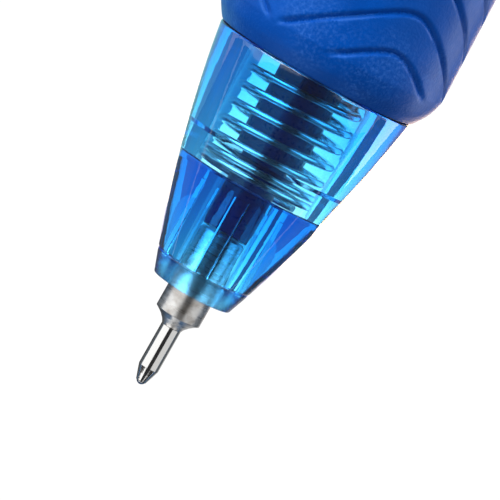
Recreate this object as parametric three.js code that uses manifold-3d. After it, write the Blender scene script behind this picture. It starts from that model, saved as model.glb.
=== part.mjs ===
// A retractable gel pen with a screw-on nose cone, a rubber grip and a pocket clip.
//
// Millimetres, +Z up. The pen lies on its side along X, its writing tip towards -X, its tip
// pushed out. While it is built, x is measured along the pen's axis from the flat front of the
// nose cone, r outwards from the axis, and the axis is the X axis. Last, the whole pen is moved
// so that the origin is under the middle of its bounding box, on the surface it lies on.

import * as THREE from 'three';
import { mergeVertices } from 'three/addons/utils/BufferGeometryUtils.js';
import Module from 'manifold-3d';

const wasm = await Module();
wasm.setup();

// ---- driving dimensions -------------------------------------------------------------------

const GAP = 0.1;                  // between pieces that are pushed or screwed together
const SIDES = 32;                 // flats around the pieces that show
const INNER_SIDES = 24;           // flats around the pieces inside

const AXIS_HEIGHT_RADIUS = 6.1;   // grip and collar share it, so the pen lies level

// Nose cone: an arc from the front to the grip, a guide bore with four low ribs that centre the
// refill, a spring bore and a threaded spigot
const NOSE = {
  length: 12.0, frontRadius: 2.02, frontSlope: 20.3, rearSlope: 8.5, edge: 0.12,
  lipLength: 1.15, lipBore: 1.22, guideBore: 1.42,
  ledge: 5.9, springBoreFront: 3.1, springBoreRear: 3.35,
  land: 3.85, spigotEnd: 18.2,
};
const GUIDE_RIB = { count: 4, width: 0.6, radius: 1.26, end: 5.4 };
const THREAD = {
  start: 13.4, end: 17.9, root: 3.85, crest: 4.2, pitch: 1.5, slack: 0.18, stepsPerTurn: 8,
};
const SEAL = { x: 12.5, section: 0.4, radius: 4.35 };

// Barrel: one tube from the nose thread to the collar, necked under the grip
const BARREL = {
  front: 13.0, threadOuter: 4.85, threadEnd: 20.0, neckStart: 20.6, neck: 4.5,
  bore: 3.5, shoulder: 50.1, radiusFront: 5.75, radiusRear: 5.55, rear: 112.0,
  guideSeat: 4.05, guideSeatStart: 100.7, collarSeat: 4.65, collarSeatStart: 103.8,
};

// Grip: outer outline from its front lip to its rear lip
const GRIP_OUTLINE = [
  [12.05, 5.06], [12.3, 5.3], [12.8, 5.6], [13.4, 5.8], [13.9, 5.85], [16.0, 5.78],
  [21.0, 5.62], [28.0, 5.52], [34.0, 5.6], [40.0, 5.86], [44.0, 6.05], [45.5, AXIS_HEIGHT_RADIUS],
  [47.5, AXIS_HEIGHT_RADIUS], [48.8, 6.02], [49.6, 5.9], [50.0, 5.74],
];

// Refill: writing point, plastic holder, tube of gel ink, follower grease and tail plug
const BALL = { radius: 0.25, x: -4.8 };
const POINT = {
  lip: -4.9, lipOuter: 0.29, lipBore: 0.25, cavity: 0.265, seat: 0.16, seatFront: -4.42,
  seatRear: -4.15, taperEnd: -4.25, tube: 0.51, tubeBore: 0.3, shoulderStart: -1.85,
  shoulderEnd: -1.37, body: 1.15, bodyEnd: 3.55, shank: 0.8, shankBore: 0.45, shankEnd: 6.4,
};
const POINT_SPRING = { wire: 0.06, coil: 0.33, pin: -4.46, start: -1.1, end: 5.9, turns: 11 };
const HOLDER = {
  front: 3.65, frontRadius: 1.14, neck: 1.2, neckStart: 4.2, stepStart: 7.15, stepEnd: 7.3,
  body: 1.67, flangeStart: 19.0, flange: 2.95, flangeEnd: 20.2, plug: 2.32, rear: 24.6,
  bore: 0.6, shankSocket: 0.9, shankSocketEnd: 6.6,
};
const INK_TUBE = { front: 20.3, rear: 90.0, radius: 2.95, bore: 2.42 };
const INK = { front: 24.8, rear: 74.0, radius: 2.34 };
const FOLLOWER = { front: 74.1, rear: 77.8, hollow: 0.5 };
const TAIL = { front: 85.4, shoulder: 90.1, rear: 92.8, plug: 2.32, head: 2.9, vent: 0.5 };

// Return spring between the nose cone's ledge and the holder's flange
const SPRING = {
  wire: 0.19, coil: 2.79, front: 6.16, rear: 18.74, closedTurns: 2, closedPitch: 0.45,
  pitch: 0.885, loopAt: 7.87,     // loopAt: where the wire crosses the -Y side
};

// Click mechanism: a slotted guide, an indexing rotor, a thrust cam and the push button
const CLICK = { ribs: 4, teeth: 8, toothHeight: 0.7, toothGap: 0.8 };
const GUIDE = { front: 100.9, rear: 112.8, radius: 3.95, slot: 3.45, rib: 3.05, ribAngle: 45 };
const ROTOR = { front: 93.0, rear: 100.6, radius: 2.7, ribRadius: 3.3, cup: 1.8, cupDepth: 2.5 };
const THRUST = { rear: 118.2, radius: 2.7, post: 1.6, postRear: 125.2, ribEnd: 108.0 };
const RIB_WIDTH = 1.6;
const BUTTON = { front: 118.4, rear: 131.5, radius: 3.45, edge: 0.7, bore: 1.7, boreEnd: 125.5 };

// Collar, trim ring and clip
const TRIM = { front: 112.1, rear: 113.3, radius: 5.9, bore: 4.65 };
const COLLAR = {
  front: 113.4, shoulder: 113.9, straightEnd: 120.5, rear: 126.3, radius: AXIS_HEIGHT_RADIUS,
  rearRadius: 5.0, edge: 0.4, bore: 3.6, spigot: 4.55, spigotFront: 104.0, spigotBore: 4.05,
  spigotBoreEnd: 113.0,
};
const CLIP = {
  thickness: 0.7, width: 4.2, rootX: 116.3, rootRadius: 4.8,
  slotLength: 1.7, slotWidth: 4.9, slotFloor: 4.4, reach: 8.0, lift: 0.03,
};

const TURN = 2 * Math.PI;
const radians = THREE.MathUtils.degToRad;

// ---- materials ----------------------------------------------------------------------------

const finish = (color, roughness, metalness = 0, opacity = 1) => ({
  color, roughness, metalness, opacity, transparent: opacity < 1,
});
const FINISHES = {
  tintedPlastic: finish(0x1f7fe0, 0.08, 0, 0.55),
  rubber: finish(0x0b3f9e, 0.6),
  nickelSilver: finish(0xb9b5ab, 0.22, 1),
  carbide: finish(0x6d7076, 0.15, 1),
  springSteel: finish(0xc4ccd2, 0.25, 1),
  navyPlastic: finish(0x0a1f55, 0.3),
  refillTube: finish(0xdfe8f0, 0.35, 0, 0.5),
  ink: finish(0x0a1c8c, 0.4),
  grease: finish(0xd8d2a8, 0.5, 0, 0.8),
  sealRubber: finish(0x1b1d22, 0.7),
  acetal: finish(0xe6e8ea, 0.4),
  bluePlastic: finish(0x124fb8, 0.25),
  chrome: finish(0xd6d9dd, 0.1, 1),
};

// ---- geometry helpers ---------------------------------------------------------------------

// Only positions, shared vertices merged, no empty triangles, and faces pointing out.
function welded(source) {
  const bare = source.index ? source.toNonIndexed() : source.clone();
  for (const name of Object.keys(bare.attributes)) {
    if (name !== 'position') bare.deleteAttribute(name);
  }
  const merged = mergeVertices(bare, 1e-4);
  const at = merged.attributes.position;
  const a = new THREE.Vector3();
  const b = new THREE.Vector3();
  const c = new THREE.Vector3();
  const kept = [];
  let volume = 0;
  for (let i = 0; i < merged.index.count; i += 3) {
    const corners = [0, 1, 2].map((k) => merged.index.getX(i + k));
    if (new Set(corners).size < corners.length) continue;
    kept.push(...corners);
    a.fromBufferAttribute(at, corners[0]);
    b.fromBufferAttribute(at, corners[1]);
    c.fromBufferAttribute(at, corners[2]);
    volume += a.dot(b.cross(c));
  }
  merged.setIndex(volume < 0 ? kept.reverse() : kept);
  return merged;
}

function toSolid(geometry) {
  const clean = welded(geometry);
  return new wasm.Manifold(new wasm.Mesh({
    numProp: 3,
    vertProperties: new Float32Array(clean.attributes.position.array),
    triVerts: new Uint32Array(clean.index.array),
  }));
}

function toGeometry(solid) {
  const mesh = solid.getMesh();
  const geometry = new THREE.BufferGeometry();
  geometry.setAttribute('position', new THREE.BufferAttribute(mesh.vertProperties, 3));
  geometry.setIndex(new THREE.BufferAttribute(mesh.triVerts, 1));
  return geometry;
}

// A closed [x, r] outline turned about the X axis, with a flat facing straight down.
function turned(outline, sides = SIDES) {
  const points = outline.map(([x, r]) => new THREE.Vector2(r, x));
  points.push(points[0].clone());
  return new THREE.LatheGeometry(points, sides, Math.PI / sides).rotateZ(-Math.PI / 2);
}

// A shape drawn across the axis, drawn out along X from one x to another.
function drawnAlongX(shape, from, to, steps = 1) {
  const geometry = new THREE.ExtrudeGeometry(shape, {
    depth: to - from, steps, bevelEnabled: false, curveSegments: 1,
  });
  return geometry.rotateX(Math.PI / 2).rotateZ(Math.PI / 2).translate(from, 0, 0);
}

const acrossAxis = (radius, angle) => new THREE.Vector2(
  radius * Math.cos(angle),
  radius * Math.sin(angle),
);

// A rod with a single-start right-hand thread: its radius rises and falls once in each pitch.
function threadedRod(root, crest, from, to) {
  const outline = Array.from({ length: INNER_SIDES }, (_, i) => acrossAxis(
    root,
    (TURN * i) / INNER_SIDES,
  ));
  const steps = Math.round((THREAD.stepsPerTurn * (to - from)) / THREAD.pitch);
  const rod = drawnAlongX(new THREE.Shape(outline), from, to, steps);
  const at = rod.attributes.position;
  for (let i = 0; i < at.count; i += 1) {
    const angle = Math.atan2(at.getZ(i), at.getY(i));
    const turns = (at.getX(i) - THREAD.start) / THREAD.pitch - angle / TURN;
    const share = 1 - Math.abs(2 * (turns - Math.floor(turns)) - 1);
    const { x: y, y: z } = acrossAxis(root + (crest - root) * share, angle);
    at.setXYZ(i, at.getX(i), y, z);
  }
  return rod;
}

// A round wire of a few flats along a curve.
function wireAlong(curve, radius, steps, flats) {
  const section = new THREE.Shape(
    Array.from({ length: flats }, (_, i) => acrossAxis(radius, (TURN * i) / flats)),
  );
  return new THREE.ExtrudeGeometry(section, {
    steps, bevelEnabled: false, extrudePath: curve, curveSegments: 1,
  });
}

// A sheet-metal strip: a centreline in the x-r plane, given a thickness.
function stripOutline(centreline, thickness) {
  const sides = [1, -1].map((side) => centreline.map((point, i) => {
    const before = centreline[Math.max(i - 1, 0)];
    const after = centreline[Math.min(i + 1, centreline.length - 1)];
    const along = after.clone().sub(before).normalize();
    return new THREE.Vector2(
      point.x - (side * along.y * thickness) / 2,
      point.y + (side * along.x * thickness) / 2,
    );
  }));
  return new THREE.Shape([...sides[0], ...sides[1].reverse()]);
}

// ---- nose cone, its seal and the return spring ----------------------------------------------

// The cone's outside is one arc, steeper at the front than at the rear.
function noseArc(steps) {
  const first = radians(NOSE.frontSlope);
  const last = radians(NOSE.rearSlope);
  const radius = NOSE.length / (Math.sin(first) - Math.sin(last));
  return Array.from({ length: steps + 1 }, (_, i) => {
    const slope = first + ((last - first) * i) / steps;
    return [
      radius * (Math.sin(first) - Math.sin(slope)),
      NOSE.frontRadius + radius * (Math.cos(slope) - Math.cos(first)),
    ];
  });
}

function noseCone() {
  const arc = noseArc(8);
  const body = toSolid(turned([
    [0, NOSE.lipBore],
    [0, NOSE.frontRadius - NOSE.edge],
    [NOSE.edge, NOSE.frontRadius + NOSE.edge / 3],
    ...arc.slice(1),
    [NOSE.length, NOSE.land],
    [NOSE.spigotEnd, NOSE.land],
    [NOSE.spigotEnd, NOSE.springBoreRear],
    [NOSE.ledge, NOSE.springBoreFront],
    [NOSE.ledge, NOSE.guideBore],
    [NOSE.lipLength, NOSE.guideBore],
    [NOSE.lipLength, NOSE.lipBore],
  ]));
  const ridge = toSolid(threadedRod(THREAD.root - GAP, THREAD.crest, THREAD.start, THREAD.end));
  const hollow = toSolid(turned([
    [THREAD.start - 1, 0],
    [THREAD.start - 1, NOSE.springBoreRear + GAP],
    [THREAD.end + 1, NOSE.springBoreRear + GAP],
    [THREAD.end + 1, 0],
  ]));
  let cone = body.add(ridge.subtract(hollow));
  for (let i = 0; i < GUIDE_RIB.count; i += 1) {
    const height = NOSE.guideBore + GAP - GUIDE_RIB.radius;
    const length = GUIDE_RIB.end - NOSE.lipLength + GAP;
    const rib = new THREE.BoxGeometry(length, GUIDE_RIB.width, height);
    rib.translate(GUIDE_RIB.end - length / 2, 0, GUIDE_RIB.radius + height / 2);
    rib.rotateX((TURN * i) / GUIDE_RIB.count);
    cone = cone.add(toSolid(rib));
  }
  return toGeometry(cone);
}

function noseSeal() {
  return turned(Array.from({ length: 8 }, (_, i) => [
    SEAL.x + SEAL.section * Math.cos((TURN * i) / 8),
    SEAL.radius + SEAL.section * Math.sin((TURN * i) / 8),
  ]), INNER_SIDES);
}

// Closed turns at each end and open turns between them, with the wire crossing -Y at loopAt.
class ReturnSpringLine extends THREE.Curve {
  constructor() {
    super();
    const closedLength = SPRING.closedTurns * SPRING.closedPitch;
    this.openFront = SPRING.front + closedLength;
    this.openRear = SPRING.rear - closedLength;
    this.openTurns = (this.openRear - this.openFront) / SPRING.pitch;
    this.turns = this.openTurns + 2 * SPRING.closedTurns;
  }

  xAtTurn(turn) {
    if (turn < SPRING.closedTurns) return SPRING.front + turn * SPRING.closedPitch;
    const open = turn - SPRING.closedTurns;
    if (open < this.openTurns) return this.openFront + open * SPRING.pitch;
    return this.openRear + (open - this.openTurns) * SPRING.closedPitch;
  }

  getPoint(t, target = new THREE.Vector3()) {
    const turn = t * this.turns;
    const turnAtLoop = SPRING.closedTurns + (SPRING.loopAt - this.openFront) / SPRING.pitch;
    const angle = Math.PI + TURN * (turn - turnAtLoop);
    return target.set(
      this.xAtTurn(turn),
      SPRING.coil * Math.cos(angle),
      SPRING.coil * Math.sin(angle),
    );
  }
}

function returnSpring() {
  const line = new ReturnSpringLine();
  line.arcLengthDivisions = 1200;
  return wireAlong(line, SPRING.wire, Math.round(line.turns * 12), 6);
}

// ---- refill -------------------------------------------------------------------------------

const writingBall = () => new THREE.SphereGeometry(BALL.radius, 16, 12).translate(BALL.x, 0, 0);

const tipSocket = () => turned([
  [POINT.lip, POINT.lipBore],
  [POINT.lip, POINT.lipOuter],
  [POINT.taperEnd, POINT.tube],
  [POINT.shoulderStart, POINT.tube],
  [POINT.shoulderEnd, POINT.body],
  [POINT.bodyEnd, POINT.body],
  [POINT.bodyEnd, POINT.shank],
  [POINT.shankEnd, POINT.shank],
  [POINT.shankEnd, POINT.shankBore],
  [POINT.shoulderEnd, POINT.shankBore],
  [POINT.shoulderStart, POINT.tubeBore],
  [POINT.seatRear, POINT.tubeBore],
  [POINT.seatRear, POINT.seat],
  [POINT.seatFront, POINT.seat],
  [POINT.seatFront - GAP, POINT.cavity],
], INNER_SIDES);

// A straight pin that reaches the ball, then a small coil inside the point's body.
class PointSpringLine extends THREE.Curve {
  getPoint(t, target = new THREE.Vector3()) {
    const pinShare = 0.08;
    if (t < pinShare) {
      const x = THREE.MathUtils.lerp(POINT_SPRING.pin, POINT_SPRING.start, t / pinShare);
      return target.set(x, 0, 0);
    }
    const coiled = (t - pinShare) / (1 - pinShare);
    const turn = coiled * POINT_SPRING.turns;
    const radius = POINT_SPRING.coil * Math.min(turn, 1);
    return target.set(
      THREE.MathUtils.lerp(POINT_SPRING.start, POINT_SPRING.end, coiled),
      radius * Math.cos(TURN * turn),
      radius * Math.sin(TURN * turn),
    );
  }
}

const tipSpring = () => wireAlong(new PointSpringLine(), POINT_SPRING.wire, 110, 4);

const tipHolder = () => turned([
  [HOLDER.front, HOLDER.shankSocket],
  [HOLDER.front, HOLDER.frontRadius],
  [HOLDER.neckStart, HOLDER.neck],
  [HOLDER.stepStart, HOLDER.neck],
  [HOLDER.stepEnd, HOLDER.body],
  [HOLDER.flangeStart - HOLDER.body / 2, HOLDER.body],
  [HOLDER.flangeStart, HOLDER.flange - GAP],
  [HOLDER.flangeStart + GAP, HOLDER.flange],
  [HOLDER.flangeEnd, HOLDER.flange],
  [HOLDER.flangeEnd, HOLDER.plug],
  [HOLDER.rear, HOLDER.plug],
  [HOLDER.rear, HOLDER.bore],
  [HOLDER.shankSocketEnd, HOLDER.bore],
  [HOLDER.shankSocketEnd, HOLDER.shankSocket],
], INNER_SIDES);

const inkTube = () => turned([
  [INK_TUBE.front, INK_TUBE.bore],
  [INK_TUBE.front, INK_TUBE.radius],
  [INK_TUBE.rear, INK_TUBE.radius],
  [INK_TUBE.rear, INK_TUBE.bore],
], INNER_SIDES);

const inkColumn = () => turned([
  [INK.front, 0],
  [INK.front, INK.radius],
  [INK.rear, INK.radius],
  [INK.rear, 0],
], INNER_SIDES);

const inkFollower = () => turned([
  [FOLLOWER.front, 0],
  [FOLLOWER.front, INK.radius],
  [FOLLOWER.rear, INK.radius],
  [FOLLOWER.rear - FOLLOWER.hollow, INK.radius / 2],
  [FOLLOWER.rear - FOLLOWER.hollow, 0],
], INNER_SIDES);

const refillTail = () => turned([
  [TAIL.front, TAIL.vent],
  [TAIL.front, TAIL.plug],
  [TAIL.shoulder, TAIL.plug],
  [TAIL.shoulder, TAIL.head],
  [TAIL.rear, TAIL.head],
  [TAIL.rear, TAIL.vent],
], INNER_SIDES);

// ---- barrel and grip ----------------------------------------------------------------------

function barrel() {
  const tube = toSolid(turned([
    [BARREL.front, BARREL.bore],
    [BARREL.front, BARREL.threadOuter],
    [BARREL.threadEnd, BARREL.threadOuter],
    [BARREL.neckStart, BARREL.neck],
    [BARREL.shoulder, BARREL.neck],
    [BARREL.shoulder, BARREL.radiusFront - GAP],
    [BARREL.shoulder + 2 * GAP, BARREL.radiusFront],
    [BARREL.rear - 2 * GAP, BARREL.radiusRear],
    [BARREL.rear, BARREL.radiusRear - 2 * GAP],
    [BARREL.rear, BARREL.collarSeat],
    [BARREL.collarSeatStart, BARREL.collarSeat],
    [BARREL.collarSeatStart, BARREL.guideSeat],
    [BARREL.guideSeatStart, BARREL.guideSeat],
    [BARREL.guideSeatStart, BARREL.bore],
  ]));
  const socket = threadedRod(
    THREAD.root + THREAD.slack,
    THREAD.crest + THREAD.slack,
    BARREL.front - 1,
    NOSE.spigotEnd + 3 * GAP,
  );
  return toGeometry(tube.subtract(toSolid(socket)));
}

function gripSleeve() {
  const overThread = BARREL.threadOuter + GAP;
  const overNeck = BARREL.neck + GAP;
  const front = GRIP_OUTLINE[0][0];
  const rear = GRIP_OUTLINE[GRIP_OUTLINE.length - 1][0];
  return turned([
    [front, overThread],
    ...GRIP_OUTLINE,
    [rear, overNeck],
    [BARREL.neckStart + GAP, overNeck],
    [BARREL.threadEnd + GAP, overThread],
  ]);
}

// ---- click mechanism ----------------------------------------------------------------------

// The guide's bore steps between ribs and slots.
function camGuide() {
  const outline = Array.from({ length: SIDES }, (_, i) => acrossAxis(
    GUIDE.radius,
    (TURN * (i + 0.5)) / SIDES,
  ));
  const bore = [];
  const perPart = 3;
  for (let i = 0; i < CLICK.ribs; i += 1) {
    const ribCentre = (TURN * (i + 0.5)) / CLICK.ribs;
    const slotCentre = (TURN * (i + 1)) / CLICK.ribs;
    const ribHalf = radians(GUIDE.ribAngle / 2);
    const slotHalf = Math.PI / CLICK.ribs - ribHalf;
    for (let k = 0; k <= perPart; k += 1) {
      bore.push(acrossAxis(GUIDE.rib, ribCentre + ribHalf * ((2 * k) / perPart - 1)));
    }
    for (let k = 0; k <= perPart; k += 1) {
      bore.push(acrossAxis(GUIDE.slot, slotCentre + slotHalf * ((2 * k) / perPart - 1)));
    }
  }
  const shape = new THREE.Shape(outline);
  shape.holes.push(new THREE.Path(bore));
  return drawnAlongX(shape, GUIDE.front, GUIDE.rear);
}

// How far a saw-tooth crown stands forward at an angle round the axis.
function toothRise(y, z) {
  const share = (((Math.atan2(z, y) / TURN) * CLICK.teeth) % 1 + 1) % 1;
  const steep = 0.75;
  return CLICK.toothHeight * (share < steep ? share / steep : (1 - share) / (1 - steep));
}

// Cuts the end of a turned piece that lies at x into a saw-tooth crown.
function crowned(geometry, x) {
  const at = geometry.attributes.position;
  for (let i = 0; i < at.count; i += 1) {
    if (Math.abs(at.getX(i) - x) < 1e-3) {
      const radius = Math.hypot(at.getY(i), at.getZ(i));
      const rise = radius > 1e-3 ? toothRise(at.getY(i), at.getZ(i)) : 0;
      at.setX(i, x + rise);
    }
  }
  return geometry;
}

function withRibs(body, from, to, innerRadius) {
  let solid = body;
  for (let i = 0; i < CLICK.ribs; i += 1) {
    const rib = new THREE.BoxGeometry(to - from, ROTOR.ribRadius - innerRadius, RIB_WIDTH);
    rib.translate((from + to) / 2, (ROTOR.ribRadius + innerRadius) / 2, 0);
    rib.rotateX((TURN * i) / CLICK.ribs);
    solid = solid.add(toSolid(rib));
  }
  return toGeometry(solid);
}

function rotor() {
  const body = crowned(turned([
    [ROTOR.front, ROTOR.cup],
    [ROTOR.front, ROTOR.radius],
    [ROTOR.rear, ROTOR.radius],
    [ROTOR.rear, ROTOR.cup - 2 * GAP],
    [ROTOR.front + ROTOR.cupDepth, ROTOR.cup - 2 * GAP],
    [ROTOR.front + ROTOR.cupDepth, ROTOR.cup],
  ]), ROTOR.rear);
  return withRibs(toSolid(body), ROTOR.front + 2, ROTOR.rear - 2 * GAP, ROTOR.radius - 0.4);
}

function thrustCam() {
  const front = ROTOR.rear + CLICK.toothGap;
  const body = crowned(turned([
    [front, ROTOR.cup - 2 * GAP],
    [front, THRUST.radius],
    [THRUST.rear, THRUST.radius],
    [THRUST.rear, THRUST.post],
    [THRUST.postRear, THRUST.post],
    [THRUST.postRear, 0],
    [THRUST.rear - 2, 0],
    [THRUST.rear - 2, ROTOR.cup - 2 * GAP],
  ]), front);
  const ribStart = front + CLICK.toothHeight + 2 * GAP;
  return withRibs(toSolid(body), ribStart, THRUST.ribEnd, THRUST.radius - 0.4);
}

const pushButton = () => turned([
  [BUTTON.front, BUTTON.bore],
  [BUTTON.front, BUTTON.radius],
  [BUTTON.rear - BUTTON.edge, BUTTON.radius],
  [BUTTON.rear - BUTTON.edge * 0.3, BUTTON.radius - BUTTON.edge * 0.3],
  [BUTTON.rear, BUTTON.radius - BUTTON.edge],
  [BUTTON.rear, 0],
  [BUTTON.boreEnd, 0],
  [BUTTON.boreEnd, BUTTON.bore],
], INNER_SIDES);

// ---- collar, trim ring and clip -------------------------------------------------------------

const trimRing = () => turned([
  [TRIM.front, TRIM.bore],
  [TRIM.front, TRIM.radius - GAP],
  [TRIM.front + GAP, TRIM.radius],
  [TRIM.rear - GAP, TRIM.radius],
  [TRIM.rear, TRIM.radius - GAP],
  [TRIM.rear, TRIM.bore],
]);

// The clip's corner all but touches the surface that the pen lies on, which sets its turn.
const restHeight = AXIS_HEIGHT_RADIUS * Math.cos(Math.PI / SIDES);
const clipTop = CLIP.reach + CLIP.thickness / 2 + CLIP.lift;
const clipCorner = Math.hypot(clipTop, CLIP.width / 2);
const clipFromDown = Math.acos(restHeight / clipCorner) + Math.atan2(CLIP.width / 2, clipTop);

// Turns a piece drawn with its outside towards +Z to the clip's side, between -Z and -Y.
const toClipSide = (geometry) => geometry.rotateX(Math.PI - clipFromDown);

function rearCollar() {
  const body = toSolid(turned([
    [COLLAR.spigotFront, COLLAR.spigotBore],
    [COLLAR.spigotFront, COLLAR.spigot],
    [COLLAR.front, COLLAR.spigot],
    [COLLAR.front, COLLAR.radius - 3 * GAP],
    [COLLAR.shoulder, COLLAR.radius],
    [COLLAR.straightEnd, COLLAR.radius],
    [COLLAR.rear - COLLAR.edge, COLLAR.rearRadius + COLLAR.edge],
    [COLLAR.rear, COLLAR.rearRadius],
    [COLLAR.rear, COLLAR.bore],
    [COLLAR.spigotBoreEnd, COLLAR.bore],
    [COLLAR.spigotBoreEnd, COLLAR.spigotBore],
  ]));
  const height = COLLAR.radius + 1 - CLIP.slotFloor;
  const slot = new THREE.BoxGeometry(CLIP.slotLength, CLIP.slotWidth, height);
  slot.translate(CLIP.rootX, 0, CLIP.slotFloor + height / 2);
  return toGeometry(body.subtract(toSolid(toClipSide(slot))));
}

// A stamped strip: up out of the collar, forward over the barrel, down to a foot, and up again.
function clip() {
  const bend = new THREE.CatmullRomCurve3([
    [CLIP.rootX, CLIP.rootRadius], [CLIP.rootX, 6.4], [CLIP.rootX - 0.35, 7.35],
    [CLIP.rootX - 1.4, 7.92], [CLIP.rootX - 3.0, CLIP.reach], [108.0, CLIP.reach], [98.0, 7.7],
    [91.0, 6.95], [87.6, 6.15], [86.2, 6.05], [84.9, 6.25], [83.6, 6.9],
  ].map(([x, r]) => new THREE.Vector3(x, r, 0)), false, 'catmullrom', 0.5);
  const centreline = bend.getPoints(36).map((point) => new THREE.Vector2(point.x, point.y));
  const strip = new THREE.ExtrudeGeometry(stripOutline(centreline, CLIP.thickness), {
    depth: CLIP.width, steps: 1, bevelEnabled: false,
  });
  strip.translate(0, 0, -CLIP.width / 2).rotateX(Math.PI / 2);
  return toClipSide(strip);
}

// ---- the pen --------------------------------------------------------------------------------

const PIECES = [
  ['nose_cone', noseCone, 'tintedPlastic'],
  ['nose_seal', noseSeal, 'sealRubber'],
  ['return_spring', returnSpring, 'springSteel'],
  ['writing_ball', writingBall, 'carbide'],
  ['tip_socket', tipSocket, 'nickelSilver'],
  ['tip_spring', tipSpring, 'springSteel'],
  ['tip_holder', tipHolder, 'navyPlastic'],
  ['ink_tube', inkTube, 'refillTube'],
  ['ink_column', inkColumn, 'ink'],
  ['ink_follower', inkFollower, 'grease'],
  ['refill_tail', refillTail, 'acetal'],
  ['barrel', barrel, 'tintedPlastic'],
  ['grip_sleeve', gripSleeve, 'rubber'],
  ['cam_guide', camGuide, 'acetal'],
  ['rotor', rotor, 'acetal'],
  ['thrust_cam', thrustCam, 'acetal'],
  ['push_button', pushButton, 'bluePlastic'],
  ['trim_ring', trimRing, 'chrome'],
  ['rear_collar', rearCollar, 'bluePlastic'],
  ['clip', clip, 'chrome'],
];

const pen = new THREE.Group();
for (const [name, build, look] of PIECES) {
  const material = new THREE.MeshStandardMaterial(FINISHES[look]);
  const mesh = new THREE.Mesh(welded(build()), material);
  mesh.name = name;
  pen.add(mesh);
}

const box = new THREE.Box3().setFromObject(pen, true);
const centre = box.getCenter(new THREE.Vector3());
pen.position.set(-centre.x, -centre.y, -box.min.z);
pen.updateMatrixWorld(true);

export default pen;
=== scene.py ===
"""A retractable gel pen lying on a bright table, seen close up on its see-through nose cone.

Sizes are in millimetres until at() turns them into the frame's metres. x is measured along the
pen's axis from the flat front of the nose cone towards the push button, r outwards from the axis,
and the angle phi goes round the axis from straight up towards -Y, in radians.
"""

import math

import bmesh
import bpy
import numpy as np
from mathutils import Matrix, Vector

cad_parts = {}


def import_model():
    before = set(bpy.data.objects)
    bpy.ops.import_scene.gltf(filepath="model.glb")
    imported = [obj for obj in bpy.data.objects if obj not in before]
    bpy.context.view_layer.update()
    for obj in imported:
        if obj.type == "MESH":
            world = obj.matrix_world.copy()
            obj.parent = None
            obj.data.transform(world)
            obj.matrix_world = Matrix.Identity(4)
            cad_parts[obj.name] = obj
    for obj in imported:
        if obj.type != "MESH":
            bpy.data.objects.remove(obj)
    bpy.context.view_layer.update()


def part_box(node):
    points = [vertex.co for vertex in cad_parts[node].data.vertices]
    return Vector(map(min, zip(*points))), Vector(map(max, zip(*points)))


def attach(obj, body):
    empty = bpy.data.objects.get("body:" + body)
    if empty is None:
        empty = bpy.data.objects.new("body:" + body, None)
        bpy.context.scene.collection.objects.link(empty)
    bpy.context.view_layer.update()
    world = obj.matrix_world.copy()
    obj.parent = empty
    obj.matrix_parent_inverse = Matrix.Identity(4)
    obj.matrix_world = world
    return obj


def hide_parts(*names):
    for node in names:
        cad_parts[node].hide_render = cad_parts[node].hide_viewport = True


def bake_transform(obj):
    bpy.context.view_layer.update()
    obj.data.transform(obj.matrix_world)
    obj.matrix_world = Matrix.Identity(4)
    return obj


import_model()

MM = 0.001
TURN = 2 * math.pi

nose_low, nose_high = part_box("nose_cone")
NOSE_FRONT = Vector((nose_low.x, (nose_low.y + nose_high.y) / 2, (nose_low.z + nose_high.z) / 2))


# ---- places and outlines -----------------------------------------------------------------------


def at(x, r=0.0, phi=0.0):
    """The frame's point for a place on the pen. Takes numbers or arrays."""
    x, r, phi = np.broadcast_arrays(*[np.asarray(v, float) for v in (x, r, phi)])
    along = NOSE_FRONT.x + x * MM
    across = NOSE_FRONT.y - r * MM * np.sin(phi)
    height = NOSE_FRONT.z + r * MM * np.cos(phi)
    return np.stack([along, across, height], -1)


def smoothstep(low, high, value):
    """0 below low, 1 above high, and a smooth ramp between them."""
    share = np.clip((value - low) / (high - low), 0, 1)
    return share * share * (3 - 2 * share)


def rounded(corners, closed=True, steps=5):
    """An outline of (x, r) or (x, r, fillet) corners, with each fillet drawn as a short curve."""
    points = []
    for i, corner in enumerate(corners):
        here = Vector(corner[:2])
        is_end = not closed and i in (0, len(corners) - 1)
        if len(corner) == 2 or is_end:
            points.append(here)
            continue
        before = Vector(corners[i - 1][:2]) - here
        after = Vector(corners[(i + 1) % len(corners)][:2]) - here
        reach = corner[2] / math.tan(before.angle(after) / 2)
        reach = min(reach, 0.48 * min(before.length, after.length))
        start = here + before.normalized() * reach
        end = here + after.normalized() * reach
        for k in range(steps + 1):
            t = k / steps
            points.append(start * (1 - t) ** 2 + here * (2 * t * (1 - t)) + end * t * t)
    return [(p.x, p.y) for p in points]


def stepped(start, end, spacing):
    """Points on a straight line, evenly spaced, without its last point."""
    count = max(1, round((Vector(end) - Vector(start)).length / spacing))
    return [tuple(Vector(start).lerp(Vector(end), k / count)) for k in range(count)]


def spline(points, steps):
    """A smooth curve through 2-D points: Catmull-Rom, with its ends carried on straight."""
    given = [np.array(p, float) for p in points]
    padded = [2 * given[0] - given[1], *given, 2 * given[-1] - given[-2]]
    curve = []
    for a, b, c, d in zip(padded, padded[1:], padded[2:], padded[3:]):
        for k in range(steps):
            t = k / steps
            curve.append(
                0.5 * (2 * b + (c - a) * t + (2 * a - 5 * b + 4 * c - d) * t * t
                       + (3 * b - a - 3 * c + d) * t ** 3)
            )
    curve.append(given[-1])
    return curve


def off_centre(count, phi):
    """The angle to the nearest of count lines that are spaced evenly from straight up."""
    spacing = TURN / count
    return np.abs((phi + spacing / 2) % spacing - spacing / 2)


# ---- meshes ------------------------------------------------------------------------------------


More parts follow.
